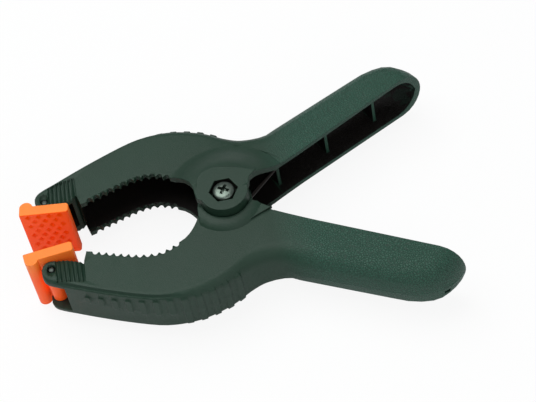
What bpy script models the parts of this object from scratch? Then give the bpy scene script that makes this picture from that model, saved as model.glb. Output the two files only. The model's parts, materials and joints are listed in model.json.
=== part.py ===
"""Spring clamp, lying on its side.

Two identical moulded arms cross at a screw, one turned half a turn about the clamp's
long axis. A torsion spring between them pushes the handles apart and shuts the jaws, and
each jaw carries a swivelling pad on a steel pin.

The shapes are worked out in millimetres about the pivot: -X is the way to the jaws, +X
to the handles, +Y to the upper arm's back, and Z runs along the pivot. The assembly is
then set down so that its box stands with its bottom centre on the origin.
"""
import math

import bmesh
import bpy
from mathutils import Matrix, Vector

MM = 0.001

# Driving dimensions, in millimetres and degrees
JAW_REACH = 95.5            # pivot axis to pad pin, measured along the clamp
PIN_HEIGHT = 21.8           # pad pin above the clamp's centre line, jaws open as at rest
HANDLE_REACH = 130.0        # pivot to the end of a handle, along the handle
HANDLE_ANGLE = 28.1         # between a handle's open edge and the clamp's centre line
HANDLE_DROP = 0.35          # how far the line of the open edge passes below the pivot
HANDLE_DEPTH = 23.6         # open edge to the back of the handle
JAW_WIDTH = 30.0            # across the jaw walls
HANDLE_WIDTH = 28.4         # across the handle at the neck
HANDLE_END_WIDTH = 31.0     # across the handle near its end
WALL = 3.2                  # side walls of the jaw
HANDLE_WALL = 2.8
BACK_WALL = 3.6
BACK_RADIUS = 3.0           # rounding of the jaw's back edges
NECK_RADIUS = 8.0
HANDLE_RADIUS = 11.5

TOOTH_COUNT = 12
TOOTH_PITCH = 4.0
TOOTH_GAP = 3.6             # width of the gap between two teeth at their tips
TOOTH_DEPTH = 1.7

REST_OPENING = 6.5          # each jaw stands this far open at rest, in degrees

HUB_RADIUS = 12.8           # round boss that carries the screw head or the nut
HUB_HEIGHT = 9.0            # boss above the side of the jaw
HUB_FLARE_RADIUS = 35.5     # the side of the arm starts to rise to the boss here
POCKET_FLATS = 13.4         # hexagonal pocket, across flats
POCKET_DEPTH = 4.4
COLLAR_RADIUS = 20.4        # raised collar round the other arm's boss, outside
COLLAR_HEIGHT = 3.2

SHANK_DIAMETER = 8.0
HEAD_DIAMETER = 12.2
HEAD_SIDE = 2.8
HEAD_DOME = 2.0
RECESS_ARM = 1.5            # width of the cross recess's arms
RECESS_SPAN = 6.4
RECESS_DEPTH = 2.2
NUT_FLATS = 13.0
NUT_HEIGHT = 4.0

WIRE_DIAMETER = 2.5
COIL_PLAY = 0.85            # between the sleeve and the inside of the coil
COIL_GAP = 0.5              # the coil has as many turns as fit with this much between them
CURL_POINTS = 9             # points along each turn
LEG_PAST_RIB = 5.0
LEG_INSET = 1.3             # each leg leans this much further in than the handle narrows

RIB_COUNT = 3
RIB_FIRST = 36.4            # pivot to the first rib, along the handle
RIB_PITCH = 32.6
RIB_THICKNESS = 2.0
RIB_RECESS = 6.0            # ribs stop this far inside the open edge

EYE = (125.6, 15.2)         # slot for a hanging cord, near the end of the handle's back
EYE_LENGTH = 3.4
EYE_WIDTH = 2.6
EYE_OFFSET = 4.0            # off the middle of the handle's width

CHEEK = 4.6                 # thickness of the two cheeks that hold a pad
PAD_PIN_DIAMETER = 3.5
PIN_SINK = 0.6              # the pin ends lie this far inside the cheeks
PAD_LENGTH = 26.3
PAD_OUTER = 12.4            # pad pin to the pad's outer end
PAD_THICKNESS = 5.9
PAD_OVERHANG = 4.0          # the pad stands this far out from each side of the jaw
PAD_LOBE_RADIUS = 3.65
PAD_KNUCKLE_RADIUS = 4.0

FIT = 0.3                   # gap between pieces that seat in each other
RUNNING_GAP = 0.5           # gap between pieces that turn past each other
STEP = 0.2                  # one face stands this far off the next where both were moulded

# Sizes that follow from those
HALF_JAW = JAW_WIDTH / 2
HUB_TOP = HALF_JAW + HUB_HEIGHT
BORE_RADIUS = SHANK_DIAMETER / 2 + FIT
SLEEVE_RADIUS = BORE_RADIUS + 1.2
COLLAR_BORE = HUB_RADIUS + RUNNING_GAP
COIL_RADIUS = SLEEVE_RADIUS + COIL_PLAY + WIRE_DIAMETER / 2     # to the middle of the wire
POCKET_FLOOR = HUB_TOP - POCKET_DEPTH
SEAT = POCKET_FLOOR + FIT
THROAT_X = -HUB_RADIUS - 2.5
PAD_FACE = (PIN_HEIGHT - JAW_REACH * math.tan(math.radians(REST_OPENING))) * math.cos(
    math.radians(REST_OPENING))
EXCESS = 5.0                # how far a cutter reaches past what it cuts


# ---------------------------------------------------------------- outlines

def along_jaw(share):
    """X of a point on the jaw, from the throat's crown (0) to the pad pin (1)."""
    crown = THROAT_X - 13.7
    return crown + share * (-JAW_REACH - crown)


def along_handle(share):
    """Distance along the handle, from the neck (0) to the handle's end (1)."""
    neck = 48.0
    return neck + share * (HANDLE_REACH - neck)


def handle_point(s, n):
    """Point s along the handle and n out from its open edge, towards the back."""
    angle = math.radians(HANDLE_ANGLE)
    out = n - HANDLE_DROP
    return (s * math.cos(angle) - out * math.sin(angle),
            s * math.sin(angle) + out * math.cos(angle))


def smooth(points, steps):
    """Catmull-Rom curve through the points, with this many steps between two of them."""
    padded = [Vector(points[0]) * 2 - Vector(points[1])]
    padded += [Vector(point) for point in points]
    padded += [Vector(points[-1]) * 2 - Vector(points[-2])]
    curve = []
    for a, b, c, d in zip(padded, padded[1:], padded[2:], padded[3:]):
        for step in range(steps):
            t = step / steps
            curve.append(0.5 * (2 * b + (c - a) * t + (2 * a - 5 * b + 4 * c - d) * t ** 2
                                + (3 * b - a - 3 * c + d) * t ** 3))
    curve.append(padded[-2])
    return curve


def arc(centre, radius, start, end, steps):
    """Points on an arc, from the start angle to the end angle in degrees."""
    angles = [math.radians(start + (end - start) * k / steps) for k in range(steps + 1)]
    return [(centre[0] + radius * math.cos(a), centre[1] + radius * math.sin(a)) for a in angles]


def walk(curve, start, pitch, count):
    """Points spaced evenly along a curve, each with the direction of the curve there."""
    found = []
    travelled = 0.0
    wanted = start
    for a, b in zip(curve, curve[1:]):
        step = (b - a).length
        while len(found) < count and travelled + step >= wanted:
            found.append((a.lerp(b, (wanted - travelled) / step), (b - a).normalized()))
            wanted += pitch
        travelled += step
    return found


def inside_outline():
    """All that lies on the open side of an arm: the mouth with the cheeks' edge, the tooth
    line and the throat, then round under the boss and along the handle's open edge."""
    pin = Vector((-JAW_REACH, PIN_HEIGHT))
    seat_radius = PIN_HEIGHT * math.cos(math.radians(REST_OPENING)) - PAD_THICKNESS - (
        JAW_REACH * math.sin(math.radians(REST_OPENING))) - FIT
    cheek = arc(pin, seat_radius, 185, 275, 6)
    cheek += [(-JAW_REACH + 8, PIN_HEIGHT - 3.7), (-JAW_REACH + 12.5, PIN_HEIGHT - 2.2),
              (-JAW_REACH + 16.2, PIN_HEIGHT - 0.6), (-JAW_REACH + 17.2, PIN_HEIGHT + 0.6),
              (-JAW_REACH + 19.1, PIN_HEIGHT - 5.6)]
    tooth_line = smooth([(along_jaw(0.71), 15.3), (along_jaw(0.633), 16.8),
                         (along_jaw(0.516), 19.4), (along_jaw(0.403), 21.9),
                         (along_jaw(0.284), 24.2), (along_jaw(0.165), 25.0),
                         (along_jaw(0.107), 24.5), (along_jaw(0.054), 23.2),
                         (along_jaw(0), 21.7), (along_jaw(-0.05), 20.4)], 8)
    throat = smooth([(THROAT_X - 9.0, 19.4), (THROAT_X - 5.3, 15.6), (THROAT_X - 2.0, 10.5),
                     (THROAT_X - 0.4, 6.4), (THROAT_X, 2.0), (THROAT_X + 0.6, -2.0)], 3)
    toothed = [tooth_line[0]]
    gaps = walk(tooth_line, TOOTH_PITCH * 1.25, TOOTH_PITCH, TOOTH_COUNT)
    for centre, along in gaps:
        inward = Vector((-along.y, along.x))
        for across, deep in ((-0.5, 0), (-0.23, 0.8), (0, 1), (0.23, 0.8), (0.5, 0)):
            toothed.append(centre + along * across * TOOTH_GAP + inward * deep * TOOTH_DEPTH)
    far = along_handle(1.2)
    under = [(-HUB_RADIUS * 0.8, -HUB_RADIUS * 0.46), (0, -HUB_RADIUS * 0.6),
             (HUB_RADIUS * 0.9, -2.0), (HUB_RADIUS + 0.9, 2.2), (HUB_RADIUS + 1.6, 5.4),
             (HUB_RADIUS + 4.0, 7.8), handle_point(22.0, -0.2), handle_point(27.0, 0),
             handle_point(far, 0), handle_point(far, -120)]
    return cheek + toothed + throat + under + [(-JAW_REACH - 20, -90),
                                               (-JAW_REACH - 20, PIN_HEIGHT - 0.4)]


# ---------------------------------------------------------------- modelling tools

def collection(name):
    made = bpy.data.collections.new(name)
    bpy.context.scene.collection.children.link(made)
    return made


def mesh_object(name, bm, group):
    """A new object from a bmesh whose coordinates are in millimetres."""
    bmesh.ops.recalc_face_normals(bm, faces=bm.faces)
    bmesh.ops.scale(bm, vec=(MM, MM, MM), verts=bm.verts)
    mesh = bpy.data.meshes.new(name)
    bm.to_mesh(mesh)
    bm.free()
    obj = bpy.data.objects.new(name, mesh)
    group.objects.link(obj)
    if group is helpers:
        obj.hide_render = True
        obj.display_type = 'WIRE'
    return obj


def evaluated(obj, name, group):
    """A mesh object that holds what this object looks like with its modifiers; obj goes."""
    graph = bpy.context.evaluated_depsgraph_get()
    mesh = bpy.data.meshes.new_from_object(obj.evaluated_get(graph))
    placed = obj.matrix_world.copy()
    bm = bmesh.new()
    bm.from_mesh(mesh)
    bpy.data.meshes.remove(mesh)
    bmesh.ops.remove_doubles(bm, verts=bm.verts, dist=0.001 * MM)
    bmesh.ops.transform(bm, matrix=Matrix.Scale(1 / MM, 4) @ placed, verts=bm.verts)
    bpy.data.objects.remove(obj)
    return mesh_object(name, bm, group)


def plate(name, outline, low, high, group=None):
    """A flat outline, thickened from one height to another."""
    curve = bpy.data.curves.new(name, 'CURVE')
    curve.dimensions = '2D'
    curve.fill_mode = 'BOTH'
    curve.extrude = (high - low) / 2 * MM
    spline = curve.splines.new('POLY')
    spline.points.add(len(outline) - 1)
    for point, (x, y) in zip(spline.points, outline):
        point.co = (x * MM, y * MM, 0, 1)
    spline.use_cyclic_u = True
    obj = bpy.data.objects.new(name, curve)
    obj.location.z = (low + high) / 2 * MM
    helpers.objects.link(obj)
    bpy.context.view_layer.update()
    return evaluated(obj, name, group or helpers)


def cylinder(name, radius, low, high, at=(0, 0), segments=48, group=None):
    """A round bar along Z, or a prism whose first corner points along X."""
    bm = bmesh.new()
    bmesh.ops.create_cone(bm, cap_ends=True, segments=segments, radius1=radius, radius2=radius,
                          depth=high - low)
    bmesh.ops.rotate(bm, matrix=Matrix.Rotation(math.pi / 2, 3, 'Z'), verts=bm.verts)
    bmesh.ops.translate(bm, vec=(at[0], at[1], (low + high) / 2), verts=bm.verts)
    return mesh_object(name, bm, group or helpers)


def block(name, size, centre, turn=0.0):
    """A box, turned about Z by an angle in degrees."""
    bm = bmesh.new()
    bmesh.ops.create_cube(bm, size=1)
    bmesh.ops.scale(bm, vec=size, verts=bm.verts)
    bmesh.ops.rotate(bm, matrix=Matrix.Rotation(math.radians(turn), 3, 'Z'), verts=bm.verts)
    bmesh.ops.translate(bm, vec=centre, verts=bm.verts)
    return mesh_object(name, bm, helpers)


def turned(name, profile, steps=64, group=None):
    """A closed shape turned about the pivot axis, from its (radius, height) profile."""
    bm = bmesh.new()
    verts = [bm.verts.new((radius, 0, height)) for radius, height in profile]
    for a, b in zip(verts, verts[1:]):
        bm.edges.new((a, b))
    if profile[0][0] > 0:
        bm.edges.new((verts[-1], verts[0]))
    obj = mesh_object(name, bm, helpers)
    screw = obj.modifiers.new('Turn', 'SCREW')
    screw.steps = steps
    screw.render_steps = steps
    screw.use_merge_vertices = True
    screw.merge_threshold = 0.00001
    bpy.context.view_layer.update()
    return evaluated(obj, name, group or helpers)


def boolean(target, other, operation):
    """Join or cut at once, so that the next step starts from a plain mesh."""
    modifier = target.modifiers.new(operation, 'BOOLEAN')
    modifier.operation = operation
    modifier.solver = 'EXACT'
    modifier.object = other
    bpy.context.view_layer.update()
    name = target.name
    group = target.users_collection[0]
    target.name = name + '_before'
    return evaluated(target, name, group)


def cut(target, *cutters):
    for cutter in cutters:
        target = boolean(target, cutter, 'DIFFERENCE')
    return target


def join(target, *others):
    for other in others:
        target = boolean(target, other, 'UNION')
    return target


def section(half_width, depth, radius, crown, start=0.0):
    """Half round-backed section: (out, across) points from the open edge to the far side."""
    radius = min(radius, half_width - 0.5, depth - 0.5)
    side = [(start, half_width), (start + (depth - radius - start) * 0.5, half_width)]
    corner = [(depth - radius + radius * math.sin(math.radians(a)),
               half_width - radius + radius * math.cos(math.radians(a)))
              for a in (0, 22.5, 45, 67.5, 90)]
    half = side + corner
    mirrored = [(out, -across) for out, across in reversed(half)]
    return half + [(depth + crown, 0)] + mirrored


def loft(name, stations, group=None):
    """A solid through sections that stand on (base, back) lines across the arm."""
    bm = bmesh.new()
    rings = []
    for base, back, half_width, radius, crown in stations:
        base = Vector(base)
        across = Vector(back) - base
        depth = across.length
        way = across.normalized()
        ring = []
        for out, z in section(half_width, depth, radius, crown):
            point = base + way * out
            ring.append(bm.verts.new((point.x, point.y, z)))
        rings.append(ring)
    for ring, following in zip(rings, rings[1:]):
        for k in range(len(ring)):
            after = (k + 1) % len(ring)
            bm.faces.new((ring[k], ring[after], following[after], following[k]))
    bm.faces.new(rings[0])
    bm.faces.new(rings[-1])
    bmesh.ops.triangulate(bm, faces=bm.faces)
    return mesh_object(name, bm, group or helpers)


# ---------------------------------------------------------------- the arm

def jaw_back():
    """Outline of the back, from the tip of the cheeks to the neck."""
    tip = -JAW_REACH - 5.0
    return smooth([(tip, 25.6), (tip + 1.2, 27.9), (tip + 5.0, 30.6), (along_jaw(0.75), 38.4),
                   (along_jaw(0.505), 45.3), (along_jaw(0.26), 51.2), (along_jaw(0.09), 53.3),
                   (along_jaw(-0.05), 53.6), (THROAT_X - 3.7, 52.8), (THROAT_X + 3.8, 50.9),
                   (-4.5, 48.3), (4.0, 43.6), (11.5, 40.7), (17.8, 39.8)], 3)


def handle_back(share):
    """Depth of the handle's back, full from the neck and rounded down over the end."""
    full = 0.6
    if share <= full:
        return HANDLE_DEPTH + 2.4 * (1 - share / full)
    return HANDLE_DEPTH * math.sqrt(max(0.0, 1 - ((share - full) / (1 - full)) ** 2.3))


def handle_half_width(share):
    full = 0.84
    straight = (HANDLE_WIDTH + (HANDLE_END_WIDTH - HANDLE_WIDTH) * min(share / full, 1)) / 2
    if share <= full:
        return straight
    return straight * math.sqrt(max(0.0, 1 - ((share - full) / (1 - full)) ** 2))


def arm_stations(hollow):
    """Sections of the arm from jaw tip to handle end, or of the space inside its walls."""
    wall, handle_wall, back_wall = (WALL, HANDLE_WALL, BACK_WALL) if hollow else (0, 0, 0)
    drop = 40 if hollow else 3
    stations = []
    for point in jaw_back():
        grow = min(max((point.x - along_jaw(0.2)) / (10 - along_jaw(0.2)), 0), 1)
        radius = BACK_RADIUS + (NECK_RADIUS - BACK_RADIUS) * grow
        stations.append(((point.x, -drop), (point.x, point.y - back_wall), HALF_JAW - wall,
                         max(radius - wall, 1.0), 0.4))
    for share, inner, outer in ((0.35, (24.0, 8.5), (22.6, 40.6)), (0.7, (33.0, 14.5), (26.2, 42.0))):
        lean = (Vector(outer) - Vector(inner)).normalized()
        width = HALF_JAW + (HANDLE_WIDTH / 2 - HALF_JAW) * share
        inset = wall + (handle_wall - wall) * share
        stations.append((tuple(Vector(inner) - lean * drop), tuple(Vector(outer) - lean * back_wall),
                         width - inset, NECK_RADIUS + 3 * share - inset, 0.5))
    end = HANDLE_REACH - back_wall
    for share in (0, 0.15, 0.3, 0.45, 0.6, 0.7, 0.78, 0.84, 0.89, 0.93, 0.96, 0.983, 0.995, 1):
        s = along_handle(0) + (end - along_handle(0)) * share
        stations.append((handle_point(s, -drop), handle_point(s, max(handle_back(share) - back_wall, 2)),
                         max(handle_half_width(share) - handle_wall, 1.2),
                         HANDLE_RADIUS - handle_wall, 0.6))
    return stations


def flare_profile(inset):
    """Side of the arm as it rises to the boss: (radius, height) from the boss outwards."""
    rise = HUB_TOP - HALF_JAW
    shape = [(HUB_RADIUS + 1.2, 1.0), (18.0, 0.91), (22.0, 0.72), (25.5, 0.49), (28.5, 0.29),
             (31.0, 0.145), (33.2, 0.05), (HUB_FLARE_RADIUS, -0.015)]
    return [(radius, HALF_JAW - inset + share * rise) for radius, share in shape]


def make_arm():
    arm = loft('arm', arm_stations(False), part)

    shoulder = HUB_TOP - STEP
    flare = turned('flare', [(0, shoulder), (HUB_RADIUS + 1.2, shoulder)] + flare_profile(0)[1:]
                   + [(HUB_FLARE_RADIUS, 0), (0, 0)])
    plateau = smooth([(-HUB_RADIUS - 0.8, 4.0), (-HUB_RADIUS - 0.2, 9.5), (-10.0, 13.6),
                      (-5.0, 15.4), (2.2, 15.0), (9.5, 12.7), (15.0, 10.2), (18.8, 9.0)], 4)
    arm = join(arm, flare, plate('plateau', plateau + [(20.0, 0.0), (0.0, 0.0)],
                                 HALF_JAW + STEP, HUB_TOP - STEP / 2))
    arm = cut(arm, plate('inside', inside_outline(), -HUB_TOP - EXCESS, HUB_TOP + EXCESS))
    collar = turned('collar', [
        (COLLAR_BORE, -HALF_JAW + WALL - STEP), (COLLAR_BORE, -HALF_JAW - COLLAR_HEIGHT),
        (COLLAR_BORE + 1.6, -HALF_JAW - COLLAR_HEIGHT),
        (COLLAR_BORE + 4.0, -HALF_JAW - COLLAR_HEIGHT * 0.8),
        (COLLAR_RADIUS - 1.2, -HALF_JAW - COLLAR_HEIGHT * 0.4),
        (COLLAR_RADIUS + 0.3, -HALF_JAW + 0.5), (COLLAR_RADIUS + 0.3, -HALF_JAW + WALL - STEP)])
    tail = plate('tail', [(5.4, 17.4), (11.4, 15.9), (16.0, 13.9), (22.6, 11.1), (20.4, 6.2),
                          (12.2, 4.0), (9.6, 10.6)],
                 -HALF_JAW - COLLAR_HEIGHT * 0.34, -HALF_JAW + WALL - 2 * STEP)
    collar = join(collar, tail)
    low_half = plate('collar_end', [(-60, -60), (60, -60), (60, 20), (22.9, 11.3), (19.6, 8.6),
                                    (16.6, 6.6), (13.0, 5.4), (8.0, 3.4), (-60, 3.4)], -40, 10)
    collar = cut(collar, low_half)
    collar = cut(collar, block('collar_throat', (40, 80, 80), (THROAT_X - 20, 0, 0)))
    arm = join(arm, collar)

    # The jaw is a channel with a web behind the pad; the handle a channel with ribs
    hollow = loft('hollow', arm_stations(True))
    web = block('web', (4.4, 240, 80), (-JAW_REACH + 16.2, 30, 0))
    tip = block('tip', (60, 240, 80), (-JAW_REACH + 14.5 - 30, 30, 0))
    hollow = cut(hollow, web, tip)
    for k in range(RIB_COUNT):
        s = RIB_FIRST + k * RIB_PITCH
        x, y = handle_point(s, RIB_RECESS + 30)
        hollow = cut(hollow, block('rib', (RIB_THICKNESS, 60, 80), (x, y, 0), HANDLE_ANGLE))
    cone = [(0, HUB_TOP - HUB_HEIGHT * 0.45)]
    cone += [(radius, height) for radius, height in flare_profile(HUB_HEIGHT * 0.45)
             if height > HALF_JAW - WALL]
    cone += [(HUB_FLARE_RADIUS - 3, HALF_JAW - WALL - 1), (HUB_FLARE_RADIUS - 3, 0), (0, 0)]
    arm = cut(arm, hollow, turned('swing', cone))

    x, y = handle_point(*EYE)
    arm = cut(arm, block('eye', (9.0, EYE_LENGTH, EYE_WIDTH), (x, y, EYE_OFFSET), HANDLE_ANGLE + 45))

    # Fork for the pad's knuckle, open at the tip and closed by the back further in
    fork = HALF_JAW - CHEEK
    slot = plate('slot', [(-JAW_REACH - 20, -20), (-JAW_REACH + 14.2, -20),
                          (-JAW_REACH + 14.2, PIN_HEIGHT + 11.0),
                          (-JAW_REACH + 5.2, PIN_HEIGHT + 7.0),
                          (-JAW_REACH + 5.2, PIN_HEIGHT + 40), (-JAW_REACH - 20, PIN_HEIGHT + 40)],
                 -fork, fork)
    arm = cut(arm, slot)

    # Boss on one side, bearing plate and sleeve on the other
    hub = cylinder('hub', HUB_RADIUS, HALF_JAW + FIT, HUB_TOP, segments=64)
    bearing = cylinder('bearing', COLLAR_BORE + 0.4, -HALF_JAW + STEP, -HALF_JAW + WALL - STEP,
                       segments=64)
    sleeve = cylinder('sleeve', SLEEVE_RADIUS, -HALF_JAW + WALL / 2, -FIT)
    arm = join(arm, hub, bearing, sleeve)
    pocket = cylinder('pocket', POCKET_FLATS / math.sqrt(3), POCKET_FLOOR, HUB_TOP + EXCESS,
                      segments=6)
    bore = cylinder('bore', BORE_RADIUS, -HUB_TOP - EXCESS, HUB_TOP + EXCESS)
    pin_hole = cylinder('pin_hole', PAD_PIN_DIAMETER / 2 + FIT, -HALF_JAW - EXCESS,
                        HALF_JAW + EXCESS, at=(-JAW_REACH, PIN_HEIGHT), segments=24)
    return cut(arm, pocket, bore, pin_hole)


# ---------------------------------------------------------------- smaller pieces

def make_pad():
    """Pad about its pin, its contact face along X and its back towards +Y."""
    half = HALF_JAW + PAD_OVERHANG
    edge = 1.0
    low = -PAD_FACE
    back = low + PAD_THICKNESS
    inner = PAD_LENGTH - PAD_OUTER
    lobe = (-PAD_OUTER + PAD_LOBE_RADIUS, back - 1.25)
    body = [(-PAD_OUTER, low), (inner - edge, low), (inner, low + edge), (inner, back - edge),
            (inner - edge, back), (lobe[0] + PAD_LOBE_RADIUS * 0.94, back)]
    body += arc(lobe, PAD_LOBE_RADIUS, 20, 180, 8)
    pad = plate('pad', body, -half, half, part)
    reach = HALF_JAW - CHEEK - FIT
    knuckle = [(-PAD_KNUCKLE_RADIUS, back - 1), (PAD_KNUCKLE_RADIUS, back - 1)]
    knuckle += arc((0, 0), PAD_KNUCKLE_RADIUS, 0, 180, 10)
    pad = join(pad, plate('knuckle', knuckle, -reach, reach))
    hole = cylinder('hole', PAD_PIN_DIAMETER / 2 + FIT, -half - EXCESS, half + EXCESS, segments=24)
    return cut(pad, hole)


def make_screw():
    """Pan-head screw, its head in the upper arm's pocket and its shank along the pivot."""
    radius = HEAD_DIAMETER / 2
    top = SEAT + HEAD_SIDE
    end = -SEAT - NUT_HEIGHT
    dome = [(radius * math.sin(math.radians(a)), top + HEAD_DOME * math.cos(math.radians(a)))
            for a in (22.5, 45, 67.5)]
    profile = [(0, top + HEAD_DOME)] + dome + [(radius, top), (radius, SEAT),
                                               (SHANK_DIAMETER / 2, SEAT),
                                               (SHANK_DIAMETER / 2, end + 0.6),
                                               (SHANK_DIAMETER / 2 - 0.6, end), (0, end)]
    screw = turned('pivot_screw', profile, 48, part)
    floor = top + HEAD_DOME - RECESS_DEPTH
    for turn in (60, 150):
        screw = cut(screw, block('recess', (RECESS_SPAN, RECESS_ARM, RECESS_DEPTH + EXCESS),
                                 (0, 0, floor + (RECESS_DEPTH + EXCESS) / 2), turn))
    return screw


def make_nut():
    nut = cylinder('pivot_nut', NUT_FLATS / math.sqrt(3), -SEAT - NUT_HEIGHT, -SEAT, segments=6,
                   group=part)
    return cut(nut, cylinder('nut_bore', SHANK_DIAMETER / 2 + FIT, -HUB_TOP - EXCESS, 0))


def spring_points():
    """Wire of the torsion spring: leg, coil rising along the pivot, leg."""
    rise = HALF_JAW - WALL - FIT - WIRE_DIAMETER / 2
    rib = Vector(handle_point(RIB_FIRST + RIB_THICKNESS / 2, RIB_RECESS))
    aside = COIL_RADIUS - WIRE_DIAMETER / 2 - FIT
    lean = math.atan2(rib.y, rib.x) + math.asin(aside / rib.length)
    run = math.sqrt(rib.length ** 2 - aside ** 2) + LEG_PAST_RIB
    way = Vector((math.cos(lean), math.sin(lean)))
    leave = lean - math.pi / 2
    turns = math.floor(2 * rise / (WIRE_DIAMETER + COIL_GAP) - leave / math.pi)
    turn = 2 * leave + 2 * math.pi * turns
    count = round(turn / (2 * math.pi) * CURL_POINTS)
    coil = []
    for k in range(count + 1):
        angle = -leave + turn * k / count
        height = -rise + 2 * rise * k / count
        coil.append((COIL_RADIUS * math.cos(angle), COIL_RADIUS * math.sin(angle), height))
    top = Vector(coil[-1])
    fall = (HALF_JAW - WALL) - (HANDLE_WIDTH / 2 - HANDLE_WALL) + LEG_INSET
    upper = [tuple(top + Vector((way.x * run, way.y * run, -fall)) * share)
             for share in (0.25, 0.6, 1)]
    lower = [(x, -y, -z) for x, y, z in reversed(upper)]
    return lower + coil + upper


def least_gap(points):
    """Smallest clear distance between one turn's wire and the next, on the points."""
    least = math.inf
    for i, a in enumerate(points):
        for b in points[i + CURL_POINTS - 2:i + CURL_POINTS + 3]:
            least = min(least, (Vector(a) - Vector(b)).length)
    return least - WIRE_DIAMETER


def make_spring():
    points = spring_points()
    print(f'torsion_spring: least gap between turns {least_gap(points):.2f} mm')
    curve = bpy.data.curves.new('torsion_spring', 'CURVE')
    curve.dimensions = '3D'
    curve.bevel_depth = WIRE_DIAMETER / 2 * MM
    curve.bevel_resolution = 1
    curve.use_fill_caps = True
    spline = curve.splines.new('POLY')
    spline.points.add(len(points) - 1)
    for point, place in zip(spline.points, points):
        point.co = (*[value * MM for value in place], 1)
    obj = bpy.data.objects.new('torsion_spring', curve)
    part.objects.link(obj)
    return obj


def material(name, colour, roughness, metallic=0.0):
    made = bpy.data.materials.new(name)
    made.use_nodes = True
    shader = made.node_tree.nodes['Principled BSDF']
    shader.inputs['Base Color'].default_value = (*colour, 1)
    shader.inputs['Roughness'].default_value = roughness
    shader.inputs['Metallic'].default_value = metallic
    return made


def finish(obj, name, surface):
    obj.name = name
    obj.data.materials.clear()
    obj.data.materials.append(surface)
    if obj.type == 'MESH':
        obj.data.shade_smooth()
        obj.data.set_sharp_from_angle(angle=math.radians(35))
    return obj


def box_of(objects):
    """Lowest and highest corners of these objects, as the viewport shows them."""
    bpy.context.view_layer.update()
    graph = bpy.context.evaluated_depsgraph_get()
    places = []
    for obj in objects:
        seen = obj.evaluated_get(graph)
        mesh = seen.to_mesh()
        places += [obj.matrix_world @ vertex.co for vertex in mesh.vertices]
        seen.to_mesh_clear()
    low = Vector([min(place[axis] for place in places) for axis in range(3)])
    high = Vector([max(place[axis] for place in places) for axis in range(3)])
    return low, high


# ---------------------------------------------------------------- assembly

for old in list(bpy.data.objects):
    bpy.data.objects.remove(old)
part = collection('spring_clamp')
helpers = collection('cutters')
helpers.hide_render = True

nylon = material('moulded_nylon', (0.030, 0.052, 0.045), 0.55)
orange = material('orange_pad', (0.90, 0.16, 0.03), 0.5)
steel = material('zinc_plated_steel', (0.42, 0.45, 0.42), 0.35, 1.0)
spring_steel = material('spring_steel', (0.12, 0.12, 0.12), 0.4, 1.0)
half_turn = Matrix.Rotation(math.pi, 4, 'X')

upper_arm = finish(make_arm(), 'upper_arm', nylon)
lower_arm = bpy.data.objects.new('lower_arm', upper_arm.data)
part.objects.link(lower_arm)
lower_arm.matrix_world = half_turn

swing = Matrix.Rotation(math.radians(-REST_OPENING), 4, 'Z')
pin_place = Matrix.Translation(Vector((-JAW_REACH, PIN_HEIGHT, 0)) * MM)
upper_pad = finish(make_pad(), 'upper_pad', orange)
upper_pad.matrix_world = pin_place @ swing
lower_pad = bpy.data.objects.new('lower_pad', upper_pad.data)
part.objects.link(lower_pad)
lower_pad.matrix_world = half_turn @ pin_place @ swing

pin_half = HALF_JAW - PIN_SINK
upper_pin = cylinder('upper_pad_pin', PAD_PIN_DIAMETER / 2, -pin_half, pin_half, segments=24,
                     group=part)
finish(upper_pin, 'upper_pad_pin', steel)
upper_pin.matrix_world = pin_place
lower_pin = bpy.data.objects.new('lower_pad_pin', upper_pin.data)
part.objects.link(lower_pin)
lower_pin.matrix_world = half_turn @ pin_place

finish(make_screw(), 'pivot_screw', steel)
finish(make_nut(), 'pivot_nut', steel)
finish(make_spring(), 'torsion_spring', spring_steel)

base = bpy.data.objects.new('clamp', None)
part.objects.link(base)
pieces = [obj for obj in part.objects if obj.type != 'EMPTY']
lowest, highest = box_of(pieces)
for piece in pieces:
    piece.parent = base
base.location = (-(lowest.x + highest.x) / 2, -(lowest.y + highest.y) / 2, -lowest.z)
print(f'pivot at {[round(value, 6) for value in base.location]}')
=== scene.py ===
"""Looks of a nine inch nylon spring clamp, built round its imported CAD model."""
import json
import math

import bmesh
import bpy
from mathutils import Matrix, Vector
from mathutils.bvhtree import BVHTree


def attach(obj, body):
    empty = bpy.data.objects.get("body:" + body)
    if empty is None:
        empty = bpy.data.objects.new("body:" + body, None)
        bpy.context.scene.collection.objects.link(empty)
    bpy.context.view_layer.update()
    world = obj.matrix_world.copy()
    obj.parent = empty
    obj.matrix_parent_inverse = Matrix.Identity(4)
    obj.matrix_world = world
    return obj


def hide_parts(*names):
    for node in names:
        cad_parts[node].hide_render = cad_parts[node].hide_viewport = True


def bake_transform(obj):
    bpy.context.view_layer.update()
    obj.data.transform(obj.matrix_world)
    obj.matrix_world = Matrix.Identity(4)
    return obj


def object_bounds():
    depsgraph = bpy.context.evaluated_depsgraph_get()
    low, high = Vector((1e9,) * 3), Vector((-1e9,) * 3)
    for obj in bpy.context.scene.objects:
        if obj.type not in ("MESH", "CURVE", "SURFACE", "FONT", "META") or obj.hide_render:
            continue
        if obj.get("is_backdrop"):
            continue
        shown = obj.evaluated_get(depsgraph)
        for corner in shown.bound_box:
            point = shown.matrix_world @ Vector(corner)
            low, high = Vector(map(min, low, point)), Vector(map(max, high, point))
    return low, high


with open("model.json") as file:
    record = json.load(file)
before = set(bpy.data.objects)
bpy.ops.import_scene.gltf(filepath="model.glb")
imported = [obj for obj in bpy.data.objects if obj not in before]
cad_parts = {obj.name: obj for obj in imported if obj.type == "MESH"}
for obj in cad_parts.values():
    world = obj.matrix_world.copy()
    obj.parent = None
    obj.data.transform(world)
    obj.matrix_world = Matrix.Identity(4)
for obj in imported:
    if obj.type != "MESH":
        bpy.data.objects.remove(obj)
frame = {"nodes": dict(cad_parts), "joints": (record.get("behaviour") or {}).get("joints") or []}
cad_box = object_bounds()
scene = bpy.context.scene
nodes = frame["nodes"]
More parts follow.
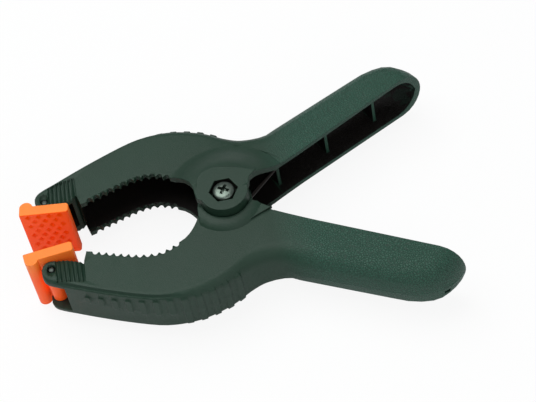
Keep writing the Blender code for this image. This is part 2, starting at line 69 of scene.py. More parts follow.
pivot = next(Vector(joint["pos_m"]) for joint in frame["joints"] if joint["name"] == "jaw_hinge")

# ---------------------------------------------------------------- studio
# The clamp lies on a white sweep under two large softboxes, seen from its jaw side and
# above. The floor shows white to the eye and keeps only a light shadow, as on a page.
CAMERA_LENS = 134.6             # millimetres, on a 36 mm sensor
CAMERA_PLACE = (0.0380563, -0.6172723, 0.8648873)       # metres from the pivot
CAMERA_TURN = (35.080, 7.222, -8.610)
ROOM_LEVEL = 0.38
FLOOR_GLOW = 0.9
FLOOR_HALF = 3.0
FLOOR_DROP = 0.0003
SOFTBOXES = (("key", (-0.3, 0.25, 1.15), 1.1, 12.0),    # name, place, side in metres, watts
             ("fill", (0.4, -0.85, 0.75), 1.0, 3.4))


def linear(code):
    """Linear colour of an sRGB hex value."""
    parts = [int(code[k:k + 2], 16) / 255 for k in (1, 3, 5)]
    return tuple(c / 12.92 if c <= 0.04045 else ((c + 0.055) / 1.055) ** 2.4 for c in parts) + (1,)


def add(tree, kind, inputs=None, **settings):
    """A shader node with its settings, and its inputs set or linked."""
    made = tree.nodes.new("ShaderNode" + kind)
    for name, value in settings.items():
        setattr(made, name, value)
    for name, value in (inputs or {}).items():
        if isinstance(value, bpy.types.NodeSocket):
            tree.links.new(value, made.inputs[name])
        else:
            made.inputs[name].default_value = value
    return made


camera = bpy.data.objects.new("camera", bpy.data.cameras.new("camera"))
camera.data.sensor_width = 36
camera.data.lens = CAMERA_LENS
camera.data.clip_end = 10
camera.location = pivot + Vector(CAMERA_PLACE)
camera.rotation_euler = [math.radians(angle) for angle in CAMERA_TURN]
scene.collection.objects.link(camera)
scene.camera = camera

world = bpy.data.worlds.new("studio")
scene.world = world
world.use_nodes = True
tree = world.node_tree
tree.nodes.clear()
path = add(tree, "LightPath")
seen = add(tree, "Math", {0: path.outputs["Is Camera Ray"], 1: path.outputs["Is Transmission Ray"]},
           operation="MAXIMUM")
room = add(tree, "Background", {"Color": linear("#E9EDEF"), "Strength": ROOM_LEVEL})
page = add(tree, "Background", {"Color": linear("#FFFFFF"), "Strength": 1.0})
either = add(tree, "MixShader", {0: seen.outputs[0], 1: room.outputs[0], 2: page.outputs[0]})
add(tree, "OutputWorld", {"Surface": either.outputs[0]})

paper = bpy.data.materials.new("white_sweep")
paper.use_nodes = True
tree = paper.node_tree
tree.nodes.clear()
path = add(tree, "LightPath")
card = add(tree, "BsdfDiffuse", {"Color": linear("#F2F3F3")})
glow = add(tree, "Emission", {"Color": linear("#FFFFFF"), "Strength": 1.0})
share = add(tree, "Math", {0: path.outputs["Is Camera Ray"], 1: FLOOR_GLOW}, operation="MULTIPLY")
surface = add(tree, "MixShader", {0: share.outputs[0], 1: card.outputs[0], 2: glow.outputs[0]})
add(tree, "OutputMaterial", {"Surface": surface.outputs[0]})

bm = bmesh.new()
bmesh.ops.create_grid(bm, x_segments=1, y_segments=1, size=FLOOR_HALF)
mesh = bpy.data.meshes.new("floor")
bm.to_mesh(mesh)
bm.free()
floor = bpy.data.objects.new("floor", mesh)
floor.location.z = -FLOOR_DROP
scene.collection.objects.link(floor)
mesh.materials.append(paper)
floor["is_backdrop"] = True

for name, place, size, power in SOFTBOXES:
    lamp = bpy.data.lights.new(name, "AREA")
    lamp.size = size
    lamp.energy = power
    light = bpy.data.objects.new(name, lamp)
    light.location = place
    light.rotation_euler = (Vector((0, 0, 0.02)) - light.location).to_track_quat("-Z", "Y").to_euler()
    scene.collection.objects.link(light)

# ---------------------------------------------------------------- arms
# Each arm is one injection moulding in glass filled nylon: a hollow toothed jaw, the boss
# round the pivot and a ribbed handle. The mould left a leather grain on the handle, grip
# pads along the jaw's back, flutes on the two cheeks and a groove under each side's edge.
# Pieces are worked in millimetres about the pivot, and set down in metres when done.
PIN = (-95.5, 21.8)             # axis of the pad's pin
JAW_HALF = 15.0
BOSS_TOP = 24.0
EDGE = 0.3                      # rounding that the mould gives every edge
SHARP = 38                      # an edge bent by more than this many degrees gets it
CREASE = 32                     # and one bent by more than this many shows as a crease
TEETH_FROM, TEETH_TO = -81, -24
TEETH_UNDER = 27.5
SHORTEST = 2.5 * EDGE           # an edge shorter than this is not rounded
SLIVER = 0.004                  # gaps and faces narrower than this are closed up

GRIP_COUNT = 12
GRIP_FIRST = 3                  # pitches from the start of the back
GRIP_PITCH = 7.5
GRIP_WIDTH = 4.6
GRIP_PROUD = 0.75
GRIP_SUNK = 0.35
GRIP_ROOT = 1.6
GRIP_GRID = (8, 24)
GRIP_ENDS = 0.985               # the round ends stop short of a point
# Where a grip's two ends lie across the back, how much further out they get along the row, and
# the share of the row this takes. Top and foot are as seen on the lower arm.
GRIP_TOP, GRIP_TOP_GAIN, GRIP_TOP_OVER = 7.7, 5.0, 0.55
GRIP_FOOT, GRIP_FOOT_GAIN, GRIP_FOOT_OVER = -2.4, 4.4, 0.35
GRIP_WHOLE = 0.6                # past this share of the row a grip goes right across

FLUTE_COUNT = 7
FLUTE_PITCH = 2.2
FLUTE_RISE = 0.5
FLUTE_RADIUS = 1.05
FLUTE_LENGTH = 26
FLUTE_OFF = (3.4, -4.0, 0.12)   # of the first one, from the pin and from the side
FLUTE_LEAN = 3.5
DISH = (2.35, 3.5)              # half sizes of the dished oval round the pin's end
DISH_UP = 0.9
DISH_DEPTH = 1.2

GROOVE_RADIUS = 1.5
GROOVE_CORNER = 3.0             # the groove lies round a centre this far in from back and side
GROOVE_OUT = 3.6
GROOVE_FADE = 1.1
GROOVE_ANGLE = 38

BACK = [(-99.3, 27.9), (-95.5, 30.6), (-78.9, 38.4), (-62.6, 45.3), (-46.3, 51.2), (-35.0, 53.3),
        (-25.7, 53.6), (-19.0, 52.8), (-11.5, 50.9), (-4.5, 48.3), (4.0, 43.6), (11.5, 40.7)]


def on_bench(node):
    """A merged copy of a CAD node's mesh, in millimetres about the pivot."""
    bm = bmesh.new()
    bm.from_mesh(nodes[node].data)
    bmesh.ops.remove_doubles(bm, verts=bm.verts, dist=1e-6)
    bmesh.ops.transform(bm, matrix=Matrix.Scale(1000, 4) @ Matrix.Translation(-pivot), verts=bm.verts)
    bmesh.ops.dissolve_limit(bm, angle_limit=math.radians(0.5), verts=bm.verts, edges=bm.edges)
    return bm


def bench_object(name, bm):
    """The mesh being worked, as an object."""
    mesh = bpy.data.meshes.new(name)
    bm.to_mesh(mesh)
    bm.free()
    made = bpy.data.objects.new(name, mesh)
    scene.collection.objects.link(made)
    return made


def evaluated(obj):
    """The object's mesh with its modifiers, or a curve's tube."""
    bpy.context.view_layer.update()
    return bpy.data.meshes.new_from_object(obj.evaluated_get(bpy.context.evaluated_depsgraph_get()))


def combine(obj, other, operation, itself=False):
    """Joins the other object to this one, cuts it off or keeps what is in both."""
    change = obj.modifiers.new(operation, "BOOLEAN")
    change.operation = operation
    change.solver = "EXACT"
    change.use_self = itself
    change.object = other
    mesh = evaluated(obj)
    obj.modifiers.clear()
    bpy.data.objects.remove(other)
    bm = bmesh.new()
    bm.from_mesh(mesh)
    bmesh.ops.remove_doubles(bm, verts=bm.verts, dist=SLIVER)
    bmesh.ops.dissolve_degenerate(bm, edges=bm.edges, dist=SLIVER)
    bm.to_mesh(mesh)
    bm.free()
    obj.data = mesh


def ease(bm, width, spare, segments=2):
    """Rounds every sharp edge, apart from those it must spare."""
    sharp = [edge for edge in bm.edges if edge.is_manifold
             and edge.calc_face_angle() > math.radians(SHARP) and not spare(edge)]
    bmesh.ops.bevel(bm, geom=sharp, offset=width, offset_type="OFFSET", segments=segments,
                    profile=0.5, affect="EDGES", clamp_overlap=False, material=-1)


def tube(name, points, radius, rings):
    """A round bar along the points, with closed ends."""
    line = bpy.data.curves.new("bar", "CURVE")
    line.dimensions = "3D"
    line.bevel_depth = radius
    line.bevel_resolution = rings
    line.use_fill_caps = True
    strand = line.splines.new("POLY")
    strand.points.add(len(points) - 1)
    for point, spot in zip(strand.points, points):
        point.co = (*spot, 1)
    drawn = bpy.data.objects.new("bar", line)
    scene.collection.objects.link(drawn)
    bm = bmesh.new()
    bm.from_mesh(evaluated(drawn))
    bpy.data.objects.remove(drawn)
    bmesh.ops.remove_doubles(bm, verts=bm.verts, dist=0.0001)
    bmesh.ops.recalc_face_normals(bm, faces=bm.faces)
    return bench_object(name, bm)


def set_down(obj, turn=None):
    """Takes a bench piece to its place on the clamp, half a turn round for the lower side."""
    place = Matrix.Translation(pivot) @ Matrix.Scale(0.001, 4)
    obj.data.transform(place @ turn if turn else place)
    obj.data.shade_smooth()
    obj.data.set_sharp_from_angle(angle=math.radians(CREASE))
    return obj


def along(points, spacing):
    """Points spaced evenly along a smooth line, each with its direction."""
    padded = [2 * Vector(points[0]) - Vector(points[1])] + [Vector(p) for p in points]
    padded += [2 * Vector(points[-1]) - Vector(points[-2])]
    line = []
    for a, b, c, d in zip(padded, padded[1:], padded[2:], padded[3:]):
        for k in range(12):
            t = k / 12
            line.append(0.5 * (2 * b + (c - a) * t + (2 * a - 5 * b + 4 * c - d) * t ** 2
                               + (3 * b - a - 3 * c + d) * t ** 3))
    found, gone, wanted = [], 0.0, 0.0
    for a, b in zip(line, line[1:]):
        step = (b - a).length
        while gone + step >= wanted:
            found.append((a.lerp(b, (wanted - gone) / step), (b - a).normalized()))
            wanted += spacing
        gone += step
    return found


def in_teeth(edge):
    """The teeth stay crisp, and so does any edge too short to round."""
    middle = (edge.verts[0].co + edge.verts[1].co) / 2
    return (TEETH_FROM < middle.x < TEETH_TO and middle.y < TEETH_UNDER
            or edge.calc_length() < SHORTEST)


bm = on_bench("upper_arm")
# The boss and the ground round it finish flush, as one face
for vert in bm.verts:
    if vert.co.z > BOSS_TOP - 0.3:
        vert.co.z = BOSS_TOP
bmesh.ops.remove_doubles(bm, verts=bm.verts, dist=0.001)
bmesh.ops.dissolve_limit(bm, angle_limit=math.radians(0.5), verts=bm.verts, edges=bm.edges)
ease(bm, EDGE, in_teeth)
arm = bench_object("upper_arm_moulding", bm)

# Grip pads: low lozenges that follow the back, right across it near the neck and ever shorter
# towards the pads. Each is a grid laid on the back, its rim sunk in it.
ground = BVHTree.FromObject(arm, bpy.context.evaluated_depsgraph_get())
bm = bmesh.new()
for k, (spot, way) in enumerate(along(BACK, GRIP_PITCH)[GRIP_FIRST:GRIP_FIRST + GRIP_COUNT]):
    share = k / (GRIP_COUNT - 1)
    high = -GRIP_TOP - GRIP_TOP_GAIN * min(share / GRIP_TOP_OVER, 1)
    low = -high if share > GRIP_WHOLE else GRIP_FOOT + GRIP_FOOT_GAIN * min(share / GRIP_FOOT_OVER, 1)
    out = Vector((-way.y, way.x, 0))
    half = (low - high) / 2
    made = bmesh.ops.create_grid(bm, x_segments=GRIP_GRID[0], y_segments=GRIP_GRID[1], size=1)["verts"]
    for vert in made:
        u, v = vert.co.x, vert.co.y * GRIP_ENDS
        round_off = max(abs(v) * half - (half - GRIP_WIDTH / 2), 0)
        across = u * math.sqrt((GRIP_WIDTH / 2) ** 2 - round_off ** 2)
        start = Vector((spot.x + way.x * across, spot.y + way.y * across, (high + low) / 2 + v * half))
        place, normal = ground.ray_cast(start + out * 6, -out)[:2]
        on_rim = max(abs(u), abs(vert.co.y)) > 0.99
        vert.co = place + normal * (-GRIP_SUNK if on_rim else GRIP_PROUD)
    faces = list({face for vert in made for face in vert.link_faces})
    grown = bmesh.ops.extrude_face_region(bm, geom=faces)["geom"]
    bmesh.ops.translate(bm, verts=[v for v in grown if isinstance(v, bmesh.types.BMVert)],
                        vec=-out * GRIP_ROOT)
bmesh.ops.recalc_face_normals(bm, faces=bm.faces)
combine(arm, bench_object("grips", bm), "UNION")

# Flutes across the outside of both cheeks, running out before the back
bm = bmesh.new()
for side in (1, -1):
    for k in range(FLUTE_COUNT):
        made = bmesh.ops.create_cone(bm, cap_ends=True, segments=20, radius1=FLUTE_RADIUS,
                                     radius2=FLUTE_RADIUS, depth=FLUTE_LENGTH)["verts"]
        bmesh.ops.rotate(bm, verts=made,
                         matrix=Matrix.Rotation(math.radians(90 - FLUTE_LEAN * side), 3, "X"))
        bmesh.ops.translate(bm, verts=made, vec=(PIN[0] + FLUTE_OFF[0] + FLUTE_PITCH * k,
                                                 PIN[1] + FLUTE_OFF[1] + FLUTE_RISE * k,
                                                 side * (JAW_HALF + FLUTE_OFF[2])))
    made = bmesh.ops.create_cone(bm, cap_ends=True, segments=32, radius1=1, radius2=1,
                                 depth=2 * DISH_DEPTH)["verts"]
    bmesh.ops.scale(bm, verts=made, vec=(*DISH, 1))
    bmesh.ops.translate(bm, verts=made, vec=(PIN[0], PIN[1] + DISH_UP, side * JAW_HALF))
bmesh.ops.recalc_face_normals(bm, faces=bm.faces)
combine(arm, bench_object("flutes", bm), "DIFFERENCE")

# Groove under each side's edge, deepest along the jaw and fading out at the neck
line = along(BACK, 3.0)[1:-8]
for side in (1, -1):
    centres = []
    for k, (spot, way) in enumerate(line):
        fade = 1 - min(k / 3, (len(line) - 1 - k) / 8, 1)
        reach = GROOVE_OUT + GROOVE_FADE * fade
        centre = spot + Vector((-way.y, way.x)) * (reach * math.cos(math.radians(GROOVE_ANGLE))
                                                   - GROOVE_CORNER)
        aside = JAW_HALF - GROOVE_CORNER + reach * math.sin(math.radians(GROOVE_ANGLE))
        centres.append((centre.x, centre.y, side * aside))
    combine(arm, tube("groove", centres, GROOVE_RADIUS, 3), "DIFFERENCE")

# Triangles with no width go, where a corner lies on a neighbour's straight edge
bm = bmesh.new()
bm.from_mesh(arm.data)
bmesh.ops.triangulate(bm, faces=bm.faces)
bmesh.ops.dissolve_degenerate(bm, edges=bm.edges, dist=0.01)
bmesh.ops.delete(bm, geom=[face for face in bm.faces if face.calc_area() < 1e-6], context="FACES")
bmesh.ops.holes_fill(bm, edges=[edge for edge in bm.edges if edge.is_boundary], sides=8)
bmesh.ops.recalc_face_normals(bm, faces=bm.faces)
bm.to_mesh(arm.data)
bm.free()

# How far each face looks into the hollow of the arm, for the painted shade there: the share of nine
# looks, straight out and aslant, that meet another wall
LOOKS = ((0, 0), (0.7, 0), (-0.7, 0), (0, 0.7), (0, -0.7), (1.4, 1.4), (-1.4, 1.4), (1.4, -1.4),
         (-1.4, -1.4))
LOOK_FROM, LOOK_TO = 2.5, 45    # a nearer wall is the face's own edge
walls = BVHTree.FromObject(arm, bpy.context.evaluated_depsgraph_get())
hidden = arm.data.attributes.new("inside", "FLOAT", "FACE")
for face in arm.data.polygons:
    start = face.center + face.normal * 0.05
    aside = face.normal.orthogonal().normalized()
    across = face.normal.cross(aside)
    met = 0
    for x, y in LOOKS:
        hit = walls.ray_cast(start, (face.normal + aside * x + across * y).normalized(), LOOK_TO)
        met += hit[0] is not None and hit[3] > LOOK_FROM
    hidden.data[face.index].value = met / len(LOOKS)


def finish(name):
    """A new material, with its nodes, its shader and the Object coordinates for its patterns."""
    made = bpy.data.materials.new(name)
    made.use_nodes = True
    tree = made.node_tree
    return made, tree, tree.nodes["Principled BSDF"], add(tree, "TexCoord").outputs["Object"]


def between(tree, share, first, second):
    """A colour that goes from the first to the second, each a hex value or a socket."""
    first, second = (linear(end) if isinstance(end, str) else end for end in (first, second))
    return add(tree, "Mix", {"Factor": share, 6: first, 7: second}, data_type="RGBA").outputs[2]


nylon, tree, shader, place = finish("glass_filled_nylon")
inside = add(tree, "Attribute", attribute_name="inside").outputs["Fac"]
# The colour drifts over a few centimetres, from grey green on the jaws to a deeper green
drift = add(tree, "TexNoise", {"Vector": place, "Scale": 28.0, "Detail": 3.0})
body = between(tree, drift.outputs[0], "#213429", "#193829")
# The leather grain starts past the pivot and covers the handle: cells of a little over a
# millimetre, with painted shade darkening the creases between them and the tops left lighter
axes = add(tree, "SeparateXYZ", {"Vector": place})
handle = add(tree, "MapRange", {"Value": axes.outputs["X"], "From Min": 0.018, "From Max": 0.04})
cells = add(tree, "TexVoronoi", {"Vector": place, "Scale": 800.0}, feature="DISTANCE_TO_EDGE")
crown = add(tree, "MapRange", {"Value": cells.outputs["Distance"], "From Max": 0.22})
grain_and_crease_shade = between(tree, crown.outputs[0], "#1C3A2E", "#284F40")
green = between(tree, handle.outputs[0], body, grain_and_crease_shade)
# Painted shade: inside the hollows, where little light gets in, the moulding is coloured nearly black
shade = add(tree, "MapRange", {"Value": inside, "From Min": 0.25, "From Max": 0.5})
tree.links.new(between(tree, shade.outputs[0], green, "#14110F"), shader.inputs["Base Color"])
# A fine sparkle all over breaks up the shine, as glass fibres at the skin do
fine = add(tree, "TexNoise", {"Vector": place, "Scale": 2600.0, "Detail": 2.0})
leather = add(tree, "Math", {0: crown.outputs[0], 1: handle.outputs[0]}, operation="MULTIPLY")
relief = add(tree, "Math", {0: leather.outputs[0], 1: fine.outputs[0]}, operation="ADD")
bump = add(tree, "Bump", {"Height": relief.outputs[0], "Strength": 0.75, "Distance": 0.0002})
tree.links.new(bump.outputs[0], shader.inputs["Normal"])
rough = add(tree, "MapRange", {"Value": fine.outputs[0], "To Min": 0.36, "To Max": 0.54})
tree.links.new(rough.outputs[0], shader.inputs["Roughness"])
shader.inputs["IOR"].default_value = 1.53
# The fibres keep it duller than plain nylon
shader.inputs["Specular IOR Level"].default_value = 0.27

half_turn = Matrix.Rotation(math.pi, 4, "X")
lower = bpy.data.objects.new("lower_arm_moulding", arm.data.copy())
scene.collection.objects.link(lower)
for piece, node, turn in ((arm, "upper_arm", None), (lower, "lower_arm", half_turn)):
    set_down(piece, turn)
    piece.data.materials.clear()
    piece.data.materials.append(nylon)
    flow = piece.modifiers.new("flow", "WEIGHTED_NORMAL")
    flow.keep_sharp = True
    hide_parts(node)
    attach(piece, node + "_body")

# ---------------------------------------------------------------- pads
# Each pad is one soft moulding in orange elastomer: a plate with a rolled outer end, a knuckle
# for its pin and a gripping face with staggered pits, painted a little darker and redder than the rest as
# shade.
PAD_FACE = 10.85                # pin to the gripping face
PAD_MIDDLE = 0.75               # middle of the face, past the pin
PAD_TURN = -6.5                 # the jaws stand this far open at rest
PAD_EDGE = 0.55
PAD_SHORTEST = 1.3              # edges shorter than this stay as they are
PIT_PITCH = (5.7, 4.1)
PIT_RADIUS = 1.95
PIT_BOTTOM = 0.45
PIT_DEPTH = 1.6
PIT_PAST = 1.25                 # the cutter grows on past the face, by this ratio

pad_place = Matrix.Translation((PIN[0], PIN[1], 0)) @ Matrix.Rotation(math.radians(PAD_TURN), 4, "Z")
bm = on_bench("upper_pad")
ease(bm, PAD_EDGE, lambda edge: edge.calc_length() < PAD_SHORTEST, segments=3)
pad = bench_object("upper_pad_moulding", bm)

bm = bmesh.new()
for row in range(-4, 5):
    for column in range(4 if row % 2 == 0 else 3):
        pit = bmesh.ops.create_cone(bm, cap_ends=True, segments=4, radius1=PIT_BOTTOM,
                                    radius2=PIT_RADIUS * PIT_PAST, depth=PIT_DEPTH * PIT_PAST)["verts"]
        bmesh.ops.rotate(bm, verts=pit, matrix=Matrix.Rotation(math.radians(90), 3, "X"))
        x = PAD_MIDDLE + PIT_PITCH[0] * (column - (1 if row % 2 else 1.5))
        bmesh.ops.translate(bm, verts=pit, vec=(x, PIT_DEPTH * (1 - PIT_PAST / 2) - PAD_FACE,
                                                row * PIT_PITCH[1]))
bmesh.ops.transform(bm, verts=bm.verts, matrix=pad_place)
bmesh.ops.recalc_face_normals(bm, faces=bm.faces)
combine(pad, bench_object("pits", bm), "DIFFERENCE")

elastomer, tree, shader, place = finish("orange_elastomer")
# Painted light and shade: the orange is lighter and yellower at the end that faces up, where the
# light falls, and deepens away from it over about a centimetre; it is also a little cloudy where the
# compound flowed
axes = add(tree, "SeparateXYZ", {"Vector": place})
lit_to_shaded = add(tree, "MapRange", {"Value": axes.outputs["Z"], "From Min": 0.0425, "From Max": 0.028})
painted_light_orange = between(tree, lit_to_shaded.outputs[0], "#F08830", "#FF5C1C")
cloud = add(tree, "TexNoise", {"Vector": place, "Scale": 90.0, "Detail": 2.0})
strength = add(tree, "MapRange", {"Value": cloud.outputs[0], "To Min": 0.0, "To Max": 0.3})
tree.links.new(between(tree, strength.outputs[0], painted_light_orange, "#F8762C"), shader.inputs["Base Color"])
# Fine pores from the mould take the shine off
pores = add(tree, "TexNoise", {"Vector": place, "Scale": 1800.0, "Detail": 2.0})
bump = add(tree, "Bump", {"Height": pores.outputs[0], "Strength": 0.2, "Distance": 0.00008})
tree.links.new(bump.outputs[0], shader.inputs["Normal"])
shader.inputs["Roughness"].default_value = 0.48
shader.inputs["IOR"].default_value = 1.5
shader.inputs["Specular IOR Level"].default_value = 0.3
# Light goes a few millimetres in, red the furthest, which softens the edges
shader.inputs["Subsurface Weight"].default_value = 0.15
shader.inputs["Subsurface Radius"].default_value = (0.004, 0.0012, 0.0004)
shader.inputs["Subsurface Scale"].default_value = 1.0
# Painted glow: a faint orange emission makes the pads look brighter than the light on them
shader.inputs["Emission Color"].default_value = linear("#FF4A0A")
shader.inputs["Emission Strength"].default_value = 0.14

# Painted shade: the gripping face gets a darker, redder copy of the orange
shaded_face_elastomer = elastomer.copy()
shaded_face_elastomer.name = "orange_elastomer_face"
for mix in shaded_face_elastomer.node_tree.nodes:
    if mix.type == "MIX":
        mix.inputs[6].default_value = linear("#FF5C00")
        mix.inputs[7].default_value = linear("#FA5600")

gripping = pad_place.to_3x3() @ Vector((0, -1, 0))
lower = bpy.data.objects.new("lower_pad_moulding", pad.data.copy())
scene.collection.objects.link(lower)
for piece, node, turn in ((pad, "upper_pad", None), (lower, "lower_pad", half_turn)):
    piece.data.materials.clear()
    piece.data.materials.append(elastomer)
    piece.data.materials.append(shaded_face_elastomer)
    for face in piece.data.polygons:
        depth = -(pad_place.inverted() @ face.center).y
        face.material_index = face.normal.dot(gripping) > 0.35 and depth > PAD_FACE - PIT_DEPTH - 0.3
    set_down(piece, turn)
    flow = piece.modifiers.new("flow", "WEIGHTED_NORMAL")
    flow.keep_sharp = True
    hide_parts(node)
    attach(piece, node + "_body")

# ---------------------------------------------------------------- pad pins
# A plain steel pin goes through both cheeks and the pad's knuckle. Its ends were cut off and
# tumbled, and lie just inside the cheeks.
PIN_RADIUS = 1.75
PIN_HALF = 14.4


def lathe(name, profile, steps=64):
    """A turned solid about the Z axis, from its (radius, height) profile that starts and ends on it."""
    bm = bmesh.new()
    verts = [bm.verts.new((radius, 0, height)) for radius, height in profile]
    edges = [bm.edges.new(pair) for pair in zip(verts, verts[1:])]
    bmesh.ops.spin(bm, geom=verts + edges, cent=(0, 0, 0), axis=(0, 0, 1), dvec=(0, 0, 0),
                   angle=2 * math.pi, steps=steps, use_merge=True)
    bmesh.ops.remove_doubles(bm, verts=bm.verts, dist=0.001)
    bmesh.ops.recalc_face_normals(bm, faces=bm.faces)
    return bench_object(name, bm)


# Tumbled steel: dull and dark, with grey specks about a millimetre across
dull, tree, shader, place = finish("tumbled_steel")
specks = add(tree, "TexNoise", {"Vector": place, "Scale": 900.0, "Detail": 3.0})
tree.links.new(between(tree, specks.outputs[0], "#2C312E", "#59605B"), shader.inputs["Base Color"])
shader.inputs["Metallic"].default_value = 1.0
shader.inputs["Roughness"].default_value = 0.42

for node, body, turn in (("upper_pad_pin", "upper_arm_body", None),
                         ("lower_pad_pin", "lower_arm_body", half_turn)):
    end = [(0, PIN_HALF), (0.8, PIN_HALF - 0.04), (1.3, PIN_HALF - 0.16), (1.6, PIN_HALF - 0.36),
           (PIN_RADIUS, PIN_HALF - 0.6)]
    pin = lathe(node + "_turned", end + [(radius, -height) for radius, height in reversed(end)], 40)
    pin.data.transform(Matrix.Translation((PIN[0], PIN[1], 0)))
    set_down(pin, turn)
    pin.data.materials.append(dull)
    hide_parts(node)
    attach(pin, body)

# ---------------------------------------------------------------- pivot screw and nut
# An M8 pan head machine screw with a cross recess, and a thin hexagon nut in the other arm's
# pocket. Both were rolled or pressed cold and zinc plated, which left them pale and satin.
SEAT = 19.9                     # the pockets' floors, from the pivot
HEAD_TOP = 24.62
SHANK_RADIUS = 4.0
THREAD_START = -14.0
THREAD_PITCH = 1.25
THREAD_DEPTH = 0.65
SHANK_CHAMFER = 0.7
CROSS_TURNS = (60, 150)
CROSS_DEPTH = 2.6
CROSS_HEIGHT = 3.6              # of the cutter, which stands out past the head
CROSS_REACH = (2.4, 5.4)        # at its bottom and top
CROSS_WIDTH = (0.4, 0.26)       # of its reach
POINT_DEPTH = 3.0
POINT_HEIGHT = 4.0
POINT_RADIUS = (0.5, 1.5)
NUT_ACROSS = 13.0
NUT_BOTTOM = -23.9
NUT_HEIGHT = 4.0
NUT_CORNER = 8.4                # past the corners
NUT_CHAMFER = 1.0
NUT_CROWN = 6.3
BORE_SLACK = 0.1
BORE_CHAMFER = 0.5

head = [(0, HEAD_TOP), (1.4, 24.6), (2.8, 24.48), (4.0, 24.24), (4.9, 23.93), (5.5, 23.5), (5.9, 22.95),
        (6.08, 22.3), (6.1, 21.6), (6.1, 20.2), (5.85, SEAT), (SHANK_RADIUS, SEAT)]
thread = []
height = THREAD_START
while height > NUT_BOTTOM + THREAD_PITCH:
    thread += [(SHANK_RADIUS, height), (SHANK_RADIUS - THREAD_DEPTH, height - THREAD_PITCH * 0.5),
               (SHANK_RADIUS, height - THREAD_PITCH * 0.95)]
    height -= THREAD_PITCH
tip = [(SHANK_RADIUS - SHANK_CHAMFER, NUT_BOTTOM), (0, NUT_BOTTOM)]
screw = lathe("pivot_screw_turned", head + thread + tip)

bm = bmesh.new()
for turn in CROSS_TURNS:
    wing = bmesh.ops.create_cone(bm, cap_ends=True, segments=4, radius1=CROSS_REACH[0],
                                 radius2=CROSS_REACH[1], depth=CROSS_HEIGHT)["verts"]
    bmesh.ops.rotate(bm, verts=wing, matrix=Matrix.Rotation(math.radians(45), 3, "Z"))
    for vert in wing:
        vert.co.y *= CROSS_WIDTH[vert.co.z > 0]
    bmesh.ops.rotate(bm, verts=wing, matrix=Matrix.Rotation(math.radians(turn), 3, "Z"))
    bmesh.ops.translate(bm, verts=wing, vec=(0, 0, HEAD_TOP - CROSS_DEPTH + CROSS_HEIGHT / 2))
recess = bench_object("recess_wings", bm)
bm = bmesh.new()
bmesh.ops.create_cone(bm, cap_ends=True, segments=24, radius1=POINT_RADIUS[0], radius2=POINT_RADIUS[1],
                      depth=POINT_HEIGHT)
bmesh.ops.translate(bm, verts=bm.verts, vec=(0, 0, HEAD_TOP - POINT_DEPTH + POINT_HEIGHT / 2))
combine(recess, bench_object("recess_point", bm), "UNION", itself=True)
combine(screw, recess, "DIFFERENCE")

bm = bmesh.new()
bmesh.ops.create_cone(bm, cap_ends=True, segments=6, radius1=NUT_ACROSS / math.sqrt(3),
                      radius2=NUT_ACROSS / math.sqrt(3), depth=NUT_HEIGHT)
bmesh.ops.rotate(bm, verts=bm.verts, matrix=Matrix.Rotation(math.pi / 2, 3, "Z"))
bmesh.ops.translate(bm, verts=bm.verts, vec=(0, 0, NUT_BOTTOM + NUT_HEIGHT / 2))
nut = bench_object("pivot_nut_pressed", bm)
corners = lathe("corners", [(0, 1 - SEAT), (NUT_CORNER, 1 - SEAT), (NUT_CORNER, NUT_BOTTOM + NUT_CHAMFER),
                            (NUT_CROWN, NUT_BOTTOM - 0.2), (0, NUT_BOTTOM - 0.2)])
combine(nut, corners, "INTERSECT")
bore = SHANK_RADIUS + BORE_SLACK
hole = lathe("bore", [(0, -15), (bore, -15), (bore, NUT_BOTTOM + BORE_CHAMFER),
                      (bore + 2 * BORE_CHAMFER, NUT_BOTTOM - BORE_CHAMFER),
                      (0, NUT_BOTTOM - BORE_CHAMFER)])
combine(nut, hole, "DIFFERENCE")

# Zinc over steel: grey green, mottled a few millimetres across in colour and in shine
zinc, tree, shader, place = finish("zinc_plated_steel")
mottle = add(tree, "TexNoise", {"Vector": place, "Scale": 420.0, "Detail": 4.0})
tree.links.new(between(tree, mottle.outputs[0], "#414D45", "#808C83"), shader.inputs["Base Color"])
rough = add(tree, "MapRange", {"Value": mottle.outputs[0], "To Min": 0.25, "To Max": 0.42})
tree.links.new(rough.outputs[0], shader.inputs["Roughness"])
shader.inputs["Metallic"].default_value = 1.0

for piece, node in ((screw, "pivot_screw"), (nut, "pivot_nut")):
    set_down(piece)
    piece.data.materials.clear()
    piece.data.materials.append(zinc)
    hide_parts(node)
    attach(piece, "lower_arm_body")

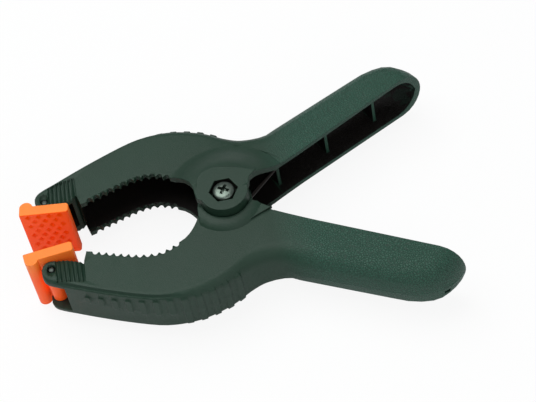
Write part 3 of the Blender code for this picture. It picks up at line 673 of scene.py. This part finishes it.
# ---------------------------------------------------------------- torsion spring
# Oil tempered wire, wound cold round the pivot sleeves between the arms. Each leg crosses to a
# handle and presses on its first rib, so the coil winds up as the handles close.
WIRE_RADIUS = 1.25
WIRE_GAP = 0.3
COIL_RADIUS = 7.6
COIL_HALF = 10.25
COIL_TURNS = 7                  # from leg to leg, before the part turn that the legs' lean adds
CURLS = 40                      # points to a turn
FIRST_RIB = (37.4, 6.0)         # along the handle, and out from its open edge
HANDLE_ANGLE = 28.1
HANDLE_DROP = 0.35
LEG_PAST = 5.0                  # beyond the rib
LEG_DROP = 1.7                  # towards the middle, along the pivot's axis

tilt = math.radians(HANDLE_ANGLE)
out = FIRST_RIB[1] - HANDLE_DROP
rib = Vector((FIRST_RIB[0] * math.cos(tilt) - out * math.sin(tilt),
              FIRST_RIB[0] * math.sin(tilt) + out * math.cos(tilt)))
aside = COIL_RADIUS - WIRE_RADIUS - WIRE_GAP
lean = math.atan2(rib.y, rib.x) + math.asin(aside / rib.length)
reach = math.sqrt(rib.length ** 2 - aside ** 2) + LEG_PAST
leave = lean - math.pi / 2
swept = 2 * leave + 2 * math.pi * COIL_TURNS
count = round(swept / (2 * math.pi) * CURLS)
coil = [Vector((COIL_RADIUS * math.cos(-leave + swept * k / count),
                COIL_RADIUS * math.sin(-leave + swept * k / count),
                -COIL_HALF + 2 * COIL_HALF * k / count)) for k in range(count + 1)]
leg = [coil[-1] + Vector((math.cos(lean) * reach, math.sin(lean) * reach, -LEG_DROP)) * share / 10
       for share in range(1, 11)]
wire = [Vector((p.x, -p.y, -p.z)) for p in reversed(leg)] + coil + leg
spring = set_down(tube("torsion_spring_wound", wire, WIRE_RADIUS, 4))

# Tempering left the wire a dark brown grey with scale in flecks, its drawing lines too fine to show
tempered, tree, shader, place = finish("oil_tempered_wire")
flecks = add(tree, "TexNoise", {"Vector": place, "Scale": 600.0, "Detail": 3.0})
tree.links.new(between(tree, flecks.outputs[0], "#1E1B1A", "#332F2D"), shader.inputs["Base Color"])
shader.inputs["Metallic"].default_value = 1.0
shader.inputs["Roughness"].default_value = 0.38
spring.data.materials.clear()
spring.data.materials.append(tempered)
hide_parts("torsion_spring")
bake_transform(spring)

size = {"cad": [list(corner) for corner in cad_box], "visual": [list(corner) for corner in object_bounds()]}
scene.view_settings.view_transform = "Standard"
